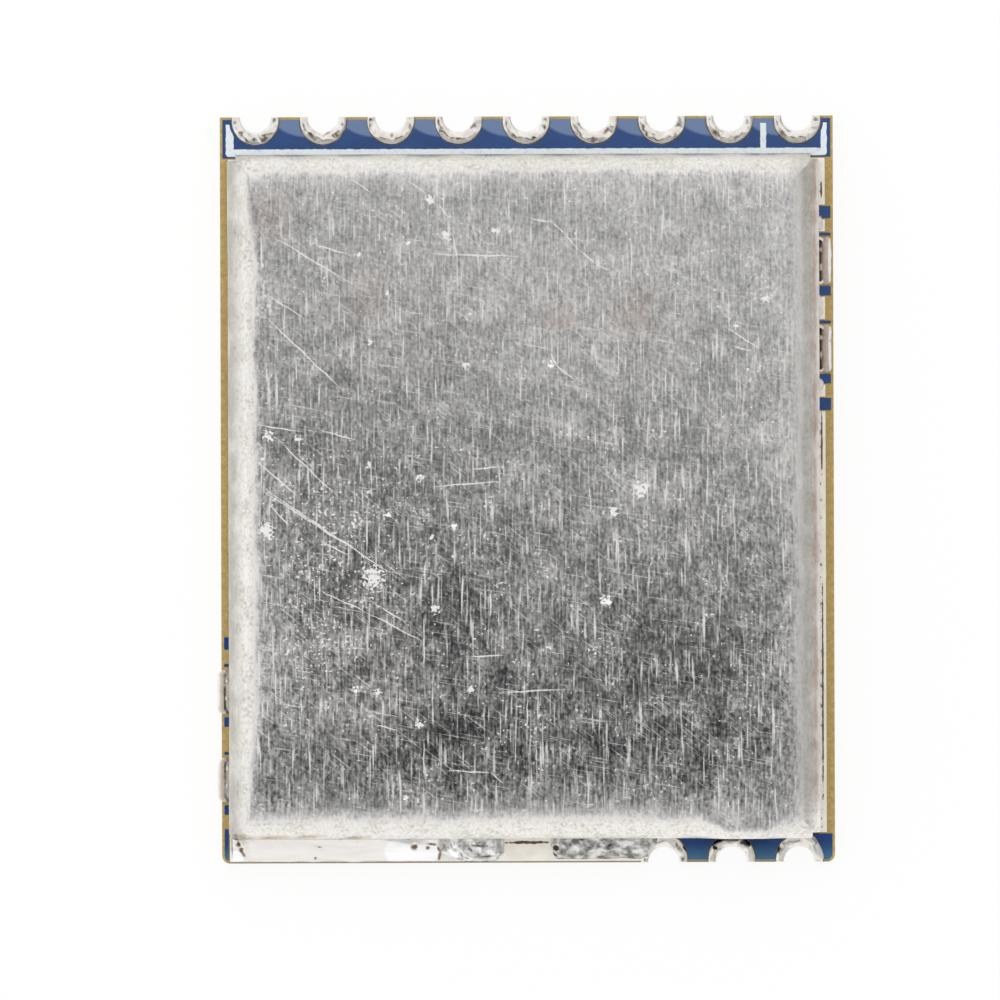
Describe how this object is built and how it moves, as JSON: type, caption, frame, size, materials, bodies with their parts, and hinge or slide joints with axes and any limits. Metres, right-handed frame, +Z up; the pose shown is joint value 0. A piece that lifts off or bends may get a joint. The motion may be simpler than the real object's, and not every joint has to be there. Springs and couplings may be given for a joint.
{
  "type": "video receiver module",
  "caption": "Flat radio video receiver: a blue circuit board with half-hole terminals along two edges, under a folded tinplate shield can that is soldered down by tabs.",
  "frame": {"origin": "middle of the board's underside", "axes": "+X to the right and +Y towards the long row of terminals, as seen from above; +Z up out of the can"},
  "size_m": [0.0232, 0.028, 0.003],
  "materials": {
    "laminate": "sawn glass-fibre laminate, olive gold",
    "solder_mask": "glossy blue lacquer",
    "white_print": "matt white print",
    "tinned_copper": "hot-tinned copper, softly lumpy",
    "solder": "hand-laid solder, smooth to crinkled",
    "tinplate": "rolled tinplate, scratched",
    "moulded_plastic": "black moulding compound",
    "package_ceramic": "ceramic base with a plated lid",
    "tantalum_plastic": "yellow moulding compound",
    "ferrite": "dark sintered ferrite",
    "capacitor_ceramic": "tan ceramic with tinned ends",
    "resistor_ceramic": "dark glaze with tinned ends"
  },
  "bodies": {
    "root": {"circuit_board": "laminate", "solder_mask_top": "solder_mask", "solder_mask_bottom": "solder_mask", "silkscreen": "white_print", "terminal_1": "tinned_copper", "terminal_2": "tinned_copper", "terminal_3": "tinned_copper", "terminal_4": "tinned_copper", "terminal_5": "tinned_copper", "terminal_6": "tinned_copper", "terminal_7": "tinned_copper", "terminal_8": "tinned_copper", "terminal_9": "tinned_copper", "terminal_10": "tinned_copper", "terminal_11": "tinned_copper", "terminal_12": "tinned_copper", "shield_land_left": "tinned_copper", "shield_land_right": "tinned_copper", "shield_land_top": "tinned_copper", "shield_land_bottom": "tinned_copper", "slot_plating_1": "tinned_copper", "slot_plating_2": "tinned_copper", "slot_plating_3": "tinned_copper", "slot_plating_4": "tinned_copper", "shield_can": "tinplate", "solder_tab_1": "solder", "solder_tab_2": "solder", "solder_tab_3": "solder", "solder_tab_4": "solder", "solder_seam_left": "solder", "solder_seam_middle": "solder", "solder_seam_right": "solder", "solder_corner": "solder", "solder_fillets": "solder", "receiver_chip": "moulded_plastic", "if_filter": "package_ceramic", "band_pass_filter": "package_ceramic", "low_noise_amplifier": "moulded_plastic", "crystal": "package_ceramic", "video_amplifier": "moulded_plastic", "voltage_regulator": "moulded_plastic", "tantalum_capacitor": "tantalum_plastic", "chip_inductors": "ferrite", "chip_capacitors": "capacitor_ceramic", "chip_resistors": "resistor_ceramic"}
  },
  "joints": []
}
